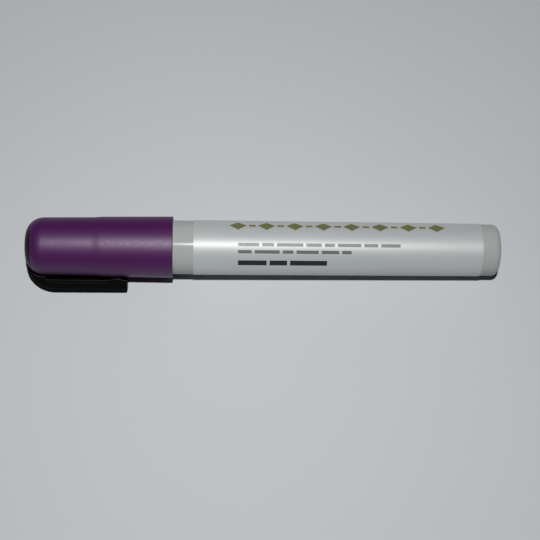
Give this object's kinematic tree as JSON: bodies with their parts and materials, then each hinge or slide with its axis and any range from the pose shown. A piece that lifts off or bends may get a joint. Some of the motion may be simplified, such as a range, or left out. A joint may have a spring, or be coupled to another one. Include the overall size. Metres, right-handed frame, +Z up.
{
  "type": "chisel-nib paint marker",
  "caption": "Valve-action paint marker with a broad chisel nib on a sprung valve, a label round the barrel, and a push-on cap with a clip.",
  "frame": {"origin": "centre of the flat tail face, on the pen's long axis", "axes": "+X along the pen's axis, out of the tail face; -X towards the nib and cap; +Z up as the pen lies on a table with the clip towards -Y"},
  "size_m": [0.1426, 0.0211, 0.0184],
  "materials": {
    "barrel_grey": "smooth moulded, satin gloss",
    "label_film": "pearly printed film",
    "cap_violet": "smooth moulded, satin",
    "clip_black": "glossy moulded",
    "holder_black": "smooth moulded",
    "fibre_white": "bonded fibre",
    "natural_plastic": "uncoloured moulded",
    "bright_steel": "bright"
  },
  "bodies": {
    "barrel": {"barrel": "barrel_grey", "label": "label_film", "front_holder": "holder_black", "valve_body": "natural_plastic", "valve_spring": "bright_steel", "valve_cover": "natural_plastic"},
    "nib": {"nib": "fibre_white", "valve_stem": "natural_plastic"},
    "cap": {"cap_shell": "cap_violet", "inner_cap": "natural_plastic", "clip": "clip_black"},
    "ball": {"mixing_ball": "bright_steel"}
  },
  "joints": [
    {"name": "cap_pull", "type": "slide", "parent": "barrel", "child": "cap", "axis": [-1, 0, 0], "range_m": [0, 0.06]},
    {"name": "nib_press", "type": "slide", "parent": "barrel", "child": "nib", "axis": [1, 0, 0], "range_m": [0, 0.002], "stiffness_N_per_m": 900, "springref_m": -0.0002, "deforming": ["valve_spring"]},
    {"name": "ball_roll", "type": "slide", "parent": "barrel", "child": "ball", "axis": [-1, 0, 0], "range_m": [0, 0.0852]}
  ]
}
